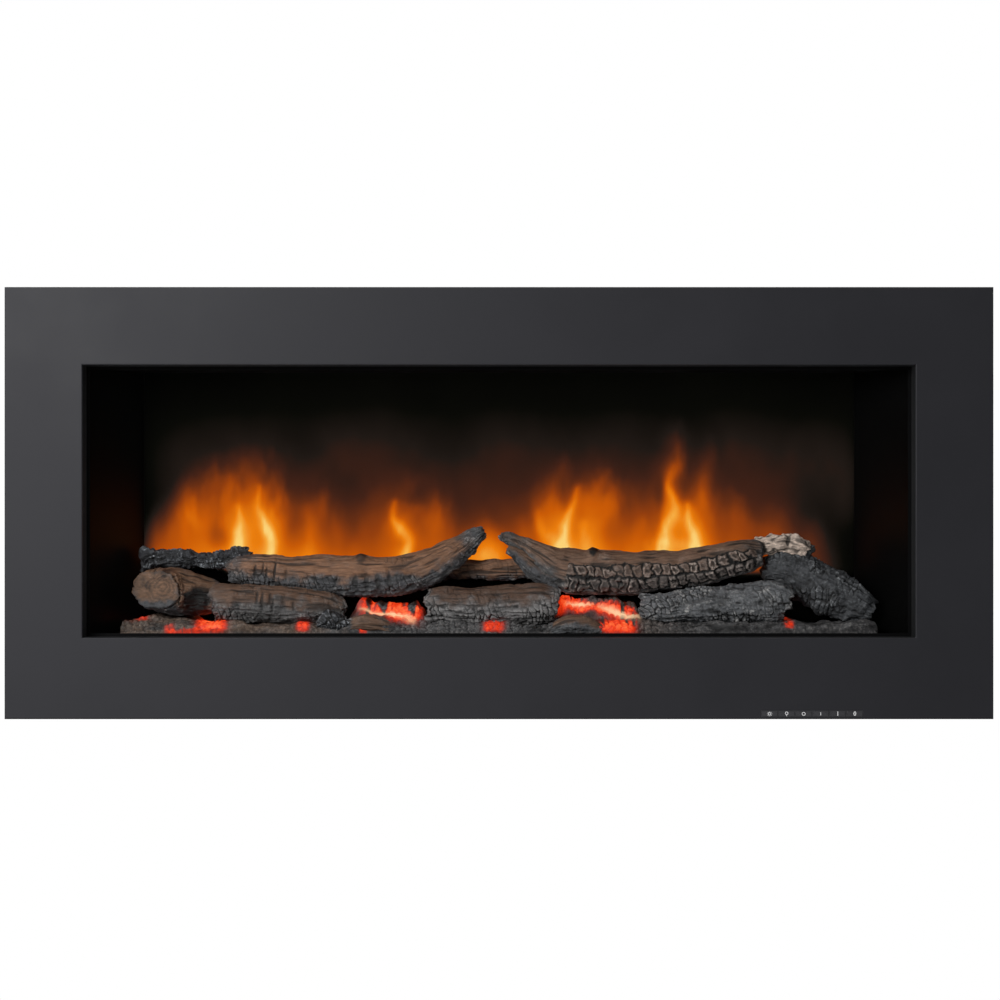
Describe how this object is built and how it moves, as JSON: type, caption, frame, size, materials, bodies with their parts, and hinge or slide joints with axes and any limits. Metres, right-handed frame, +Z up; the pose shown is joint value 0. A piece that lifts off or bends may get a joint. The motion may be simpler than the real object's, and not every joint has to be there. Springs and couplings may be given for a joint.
{
  "type": "electric fireplace",
  "caption": "Wall-hung electric fireplace: dark steel fascia round a glazed firebox with charred logs, glowing embers, a flame-effect screen and a fan heater.",
  "frame": {"origin": "centre of the four wall fixings, on the wall plane, which is also the centre of the fascia as seen from the room", "axes": "+Z up, +X to the right as seen from the room, the room is on the -Y side and +Y points into the wall"},
  "size_m": [1.19, 0.175, 0.52],
  "materials": {
    "fascia_coat": "anthracite powder coat, satin, very faint orange peel",
    "casing_coat": "matt black powder coat",
    "firebox_gloss": "gloss black enamel on the splayed cheeks",
    "firebox_matt": "matt heat-proof black",
    "grille_coat": "satin black coat on a pierced grille",
    "black_screw": "black button-head screws",
    "zinc_steel": "bright zinc plate",
    "galvanised": "galvanised sheet with spangle",
    "bright_steel": "ground steel rod",
    "motor_iron": "varnished laminations with a taped copper coil",
    "wheel_aluminium": "mill-finish aluminium slats and discs",
    "heater_fins": "pressed aluminium fins on a ceramic core",
    "mirror_sheet": "polished sheet with flame-shaped holes",
    "blade_foil": "crinkled silver foil petals",
    "clear_glass": "clear toughened glass, faint smoke tint",
    "lens_frosted": "frosted polycarbonate",
    "flame_diffuser": "smoked translucent screen on which the flame image shows",
    "ember_resin": "translucent red-orange resin coated with ash and cinders, glowing from below",
    "log_bark": "moulded resin painted as charred, cracked and ash-dusted timber",
    "circuit_board": "green laminate with components",
    "led_strip": "white laminate strip with chip lamps",
    "bezel_grey": "dark grey moulding, fine texture",
    "key_grey": "dark grey key with pale printed mark",
    "black_plastic": "black moulded plastic",
    "rocker_gloss": "gloss black rocker",
    "white_nylon": "natural nylon",
    "brown_phenolic": "brown phenolic",
    "wire_sheath": "insulated single leads",
    "seal_rubber": "black foam and rubber"
  },
  "bodies": {
    "casing": {"base_panel": "casing_coat", "blower_bearing": "seal_rubber", "blower_housing": "galvanised", "blower_motor": "motor_iron", "cable_gland": "black_plastic", "casing_screws": "black_screw", "centre_back_log": "log_bark", "centre_low_log": "log_bark", "control_bezel": "bezel_grey", "control_board": "circuit_board", "downlight_board": "led_strip", "downlight_lens": "lens_frosted", "ember_bed": "ember_resin", "ember_led_board": "led_strip", "fascia_screws": "zinc_steel", "firebox_floor": "firebox_matt", "firebox_roof": "firebox_matt", "flame_led_board": "led_strip", "flame_screen": "flame_diffuser", "flame_stencil": "mirror_sheet", "front_bulkhead": "firebox_matt", "front_fascia": "fascia_coat", "front_glass": "clear_glass", "glass_seal": "seal_rubber", "heating_element": "heater_fins", "left_back_log": "log_bark", "left_end_log": "log_bark", "left_firebox_wall": "firebox_gloss", "left_low_log": "log_bark", "left_side_panel": "casing_coat", "left_top_log": "log_bark", "lower_brackets": "galvanised", "motor_bracket": "zinc_steel", "outlet_grille": "grille_coat", "power_board": "circuit_board", "rear_panel": "casing_coat", "right_end_log": "log_bark", "right_firebox_wall": "firebox_gloss", "right_low_log": "log_bark", "right_side_panel": "casing_coat", "right_top_log": "log_bark", "rocker_frame": "black_plastic", "spindle_bearing": "white_nylon", "spindle_motor": "zinc_steel", "terminal_block": "white_nylon", "thermal_cutout": "brown_phenolic", "top_panel": "casing_coat", "wall_bracket": "galvanised", "wiring_harness": "wire_sheath"},
    "flame_spindle": {"spindle_rod": "bright_steel", "spindle_blades": "blade_foil", "drive_coupling": "black_plastic"},
    "blower_rotor": {"blower_wheel": "wheel_aluminium"},
    "rocker": {"power_rocker": "rocker_gloss"},
    "key_flame_body": {"key_flame": "key_grey"},
    "key_lamp_body": {"key_lamp": "key_grey"},
    "key_dimmer_body": {"key_dimmer": "key_grey"},
    "key_heat_body": {"key_heat": "key_grey"},
    "key_on_body": {"key_on": "key_grey"},
    "key_off_body": {"key_off": "key_grey"}
  },
  "joints": [
    {"name": "spindle_spin", "type": "hinge", "parent": "casing", "child": "flame_spindle", "pos_m": [0, -0.031, -0.128], "axis": [1, 0, 0], "continuous": true},
    {"name": "blower_spin", "type": "hinge", "parent": "casing", "child": "blower_rotor", "pos_m": [0, -0.072, -0.205], "axis": [1, 0, 0], "continuous": true},
    {"name": "rocker_tilt", "type": "hinge", "parent": "casing", "child": "rocker", "pos_m": [0.462, -0.07, -0.234], "axis": [0, 1, 0], "range_deg": [0, 20]},
    {"name": "press_flame", "type": "slide", "parent": "casing", "child": "key_flame_body", "axis": [0, 1, 0], "range_m": [0, 0.0008], "stiffness_N_per_m": 300, "springref_m": -0.0008},
    {"name": "press_lamp", "type": "slide", "parent": "casing", "child": "key_lamp_body", "axis": [0, 1, 0], "range_m": [0, 0.0008], "stiffness_N_per_m": 300, "springref_m": -0.0008},
    {"name": "press_dimmer", "type": "slide", "parent": "casing", "child": "key_dimmer_body", "axis": [0, 1, 0], "range_m": [0, 0.0008], "stiffness_N_per_m": 300, "springref_m": -0.0008},
    {"name": "press_heat", "type": "slide", "parent": "casing", "child": "key_heat_body", "axis": [0, 1, 0], "range_m": [0, 0.0008], "stiffness_N_per_m": 300, "springref_m": -0.0008},
    {"name": "press_on", "type": "slide", "parent": "casing", "child": "key_on_body", "axis": [0, 1, 0], "range_m": [0, 0.0008], "stiffness_N_per_m": 300, "springref_m": -0.0008},
    {"name": "press_off", "type": "slide", "parent": "casing", "child": "key_off_body", "axis": [0, 1, 0], "range_m": [0, 0.0008], "stiffness_N_per_m": 300, "springref_m": -0.0008}
  ]
}
